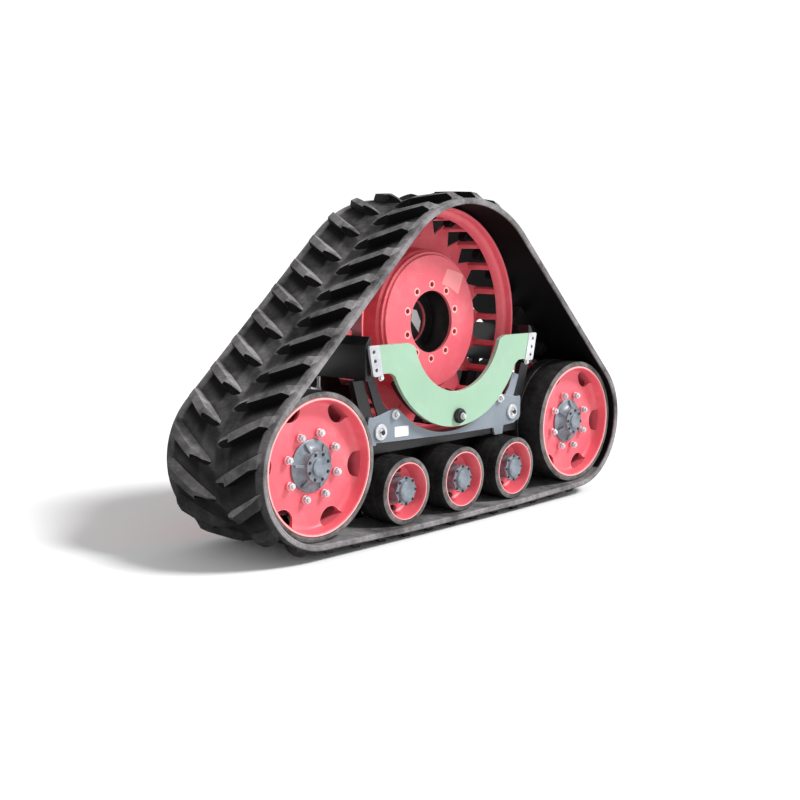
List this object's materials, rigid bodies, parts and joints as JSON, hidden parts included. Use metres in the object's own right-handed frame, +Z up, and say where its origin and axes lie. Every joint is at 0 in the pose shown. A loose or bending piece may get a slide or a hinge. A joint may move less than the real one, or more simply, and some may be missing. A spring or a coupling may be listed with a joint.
{
  "type": "triangular rubber track unit",
  "caption": "Triangular rubber track unit: lugged belt round a barred drive wheel, end idlers and ground rollers, on a frame with belt tensioner and axle plate.",
  "frame": {"origin": "on the ground below the drive axle, half-way between the two edges of the belt", "axes": "+X along the direction of travel towards the fixed idlers, +Y across the belt away from the mounting disc, +Z up"},
  "size_m": [2.4529, 0.6, 1.474],
  "materials": {
    "red_paint": "satin",
    "black_paint": "satin",
    "grey_paint": "satin",
    "green_paint": "satin",
    "cast_hub": "satin",
    "zinc": "satin",
    "ground_steel": "polished",
    "belt_rubber": "matt",
    "tyre_rubber": "matt"
  },
  "bodies": {
    "frame": {"rubber_belt": "belt_rubber", "centre_keel": "black_paint", "front_cross_member": "black_paint", "rear_cross_member": "black_paint", "front_box_beam": "black_paint", "rear_box_beam": "black_paint", "near_side_frame": "black_paint", "far_side_frame": "black_paint", "near_side_plate": "grey_paint", "far_side_plate": "grey_paint", "front_frame_pin": "zinc", "rear_frame_pin": "zinc", "yoke_plate": "green_paint", "yoke_bush": "black_paint", "yoke_backing": "black_paint", "front_slot_bracket": "zinc", "rear_slot_bracket": "zinc", "bearing_carrier": "black_paint", "drive_bearing": "ground_steel", "tension_barrel": "black_paint", "rear_idler_axle": "ground_steel", "roller_1_axle": "ground_steel", "roller_2_axle": "ground_steel", "roller_3_axle": "ground_steel"},
    "drive_wheel": {"drive_cage": "red_paint", "hub_drum": "red_paint", "drive_spindle": "cast_hub"},
    "tension_fork": {"tension_yoke": "black_paint", "tension_rod": "ground_steel", "front_idler_axle": "ground_steel"},
    "front_idler_near": {"front_idler_near_rim": "red_paint", "front_idler_near_tyre": "tyre_rubber", "front_idler_near_hub": "cast_hub"},
    "front_idler_far": {"front_idler_far_rim": "red_paint", "front_idler_far_tyre": "tyre_rubber", "front_idler_far_hub": "cast_hub"},
    "rear_idler_near": {"rear_idler_near_rim": "red_paint", "rear_idler_near_tyre": "tyre_rubber", "rear_idler_near_hub": "cast_hub"},
    "rear_idler_far": {"rear_idler_far_rim": "red_paint", "rear_idler_far_tyre": "tyre_rubber", "rear_idler_far_hub": "cast_hub"},
    "roller_1_near": {"roller_1_near_rim": "red_paint", "roller_1_near_tyre": "tyre_rubber", "roller_1_near_hub": "cast_hub"},
    "roller_1_far": {"roller_1_far_rim": "red_paint", "roller_1_far_tyre": "tyre_rubber", "roller_1_far_hub": "cast_hub"},
    "roller_2_near": {"roller_2_near_rim": "red_paint", "roller_2_near_tyre": "tyre_rubber", "roller_2_near_hub": "cast_hub"},
    "roller_2_far": {"roller_2_far_rim": "red_paint", "roller_2_far_tyre": "tyre_rubber", "roller_2_far_hub": "cast_hub"},
    "roller_3_near": {"roller_3_near_rim": "red_paint", "roller_3_near_tyre": "tyre_rubber", "roller_3_near_hub": "cast_hub"},
    "roller_3_far": {"roller_3_far_rim": "red_paint", "roller_3_far_tyre": "tyre_rubber", "roller_3_far_hub": "cast_hub"}
  },
  "joints": [
    {"name": "drive_spin", "type": "hinge", "parent": "frame", "child": "drive_wheel", "pos_m": [0, 0, 0.898], "axis": [0, 1, 0], "continuous": true, "deforming": ["rubber_belt"]},
    {"name": "tension_slide", "type": "slide", "parent": "frame", "child": "tension_fork", "axis": [1, 0, 0], "range_m": [0, 0.035], "stiffness_N_per_m": 20000, "springref_m": -0.02},
    {"name": "front_idler_near_spin", "type": "hinge", "parent": "tension_fork", "child": "front_idler_near", "pos_m": [-0.869, -0.165, 0.3735], "axis": [0, 1, 0], "continuous": true},
    {"name": "front_idler_far_spin", "type": "hinge", "parent": "tension_fork", "child": "front_idler_far", "pos_m": [-0.869, 0.165, 0.3735], "axis": [0, 1, 0], "continuous": true},
    {"name": "rear_idler_near_spin", "type": "hinge", "parent": "frame", "child": "rear_idler_near", "pos_m": [0.869, -0.165, 0.3735], "axis": [0, 1, 0], "continuous": true},
    {"name": "rear_idler_far_spin", "type": "hinge", "parent": "frame", "child": "rear_idler_far", "pos_m": [0.869, 0.165, 0.3735], "axis": [0, 1, 0], "continuous": true},
    {"name": "roller_1_near_spin", "type": "hinge", "parent": "frame", "child": "roller_1_near", "pos_m": [-0.372, -0.185, 0.2055], "axis": [0, 1, 0], "continuous": true},
    {"name": "roller_1_far_spin", "type": "hinge", "parent": "frame", "child": "roller_1_far", "pos_m": [-0.372, 0.185, 0.2055], "axis": [0, 1, 0], "continuous": true},
    {"name": "roller_2_near_spin", "type": "hinge", "parent": "frame", "child": "roller_2_near", "pos_m": [0, -0.185, 0.2055], "axis": [0, 1, 0], "continuous": true},
    {"name": "roller_2_far_spin", "type": "hinge", "parent": "frame", "child": "roller_2_far", "pos_m": [0, 0.185, 0.2055], "axis": [0, 1, 0], "continuous": true},
    {"name": "roller_3_near_spin", "type": "hinge", "parent": "frame", "child": "roller_3_near", "pos_m": [0.372, -0.185, 0.2055], "axis": [0, 1, 0], "continuous": true},
    {"name": "roller_3_far_spin", "type": "hinge", "parent": "frame", "child": "roller_3_far", "pos_m": [0.372, 0.185, 0.2055], "axis": [0, 1, 0], "continuous": true}
  ],
  "couplings": [
    {"joint": "front_idler_near_spin", "follows": "drive_spin", "ratio": 1.7333},
    {"joint": "front_idler_far_spin", "follows": "drive_spin", "ratio": 1.7333},
    {"joint": "rear_idler_near_spin", "follows": "drive_spin", "ratio": 1.7333},
    {"joint": "rear_idler_far_spin", "follows": "drive_spin", "ratio": 1.7333},
    {"joint": "roller_1_near_spin", "follows": "drive_spin", "ratio": 3.5135},
    {"joint": "roller_1_far_spin", "follows": "drive_spin", "ratio": 3.5135},
    {"joint": "roller_2_near_spin", "follows": "drive_spin", "ratio": 3.5135},
    {"joint": "roller_2_far_spin", "follows": "drive_spin", "ratio": 3.5135},
    {"joint": "roller_3_near_spin", "follows": "drive_spin", "ratio": 3.5135},
    {"joint": "roller_3_far_spin", "follows": "drive_spin", "ratio": 3.5135}
  ]
}
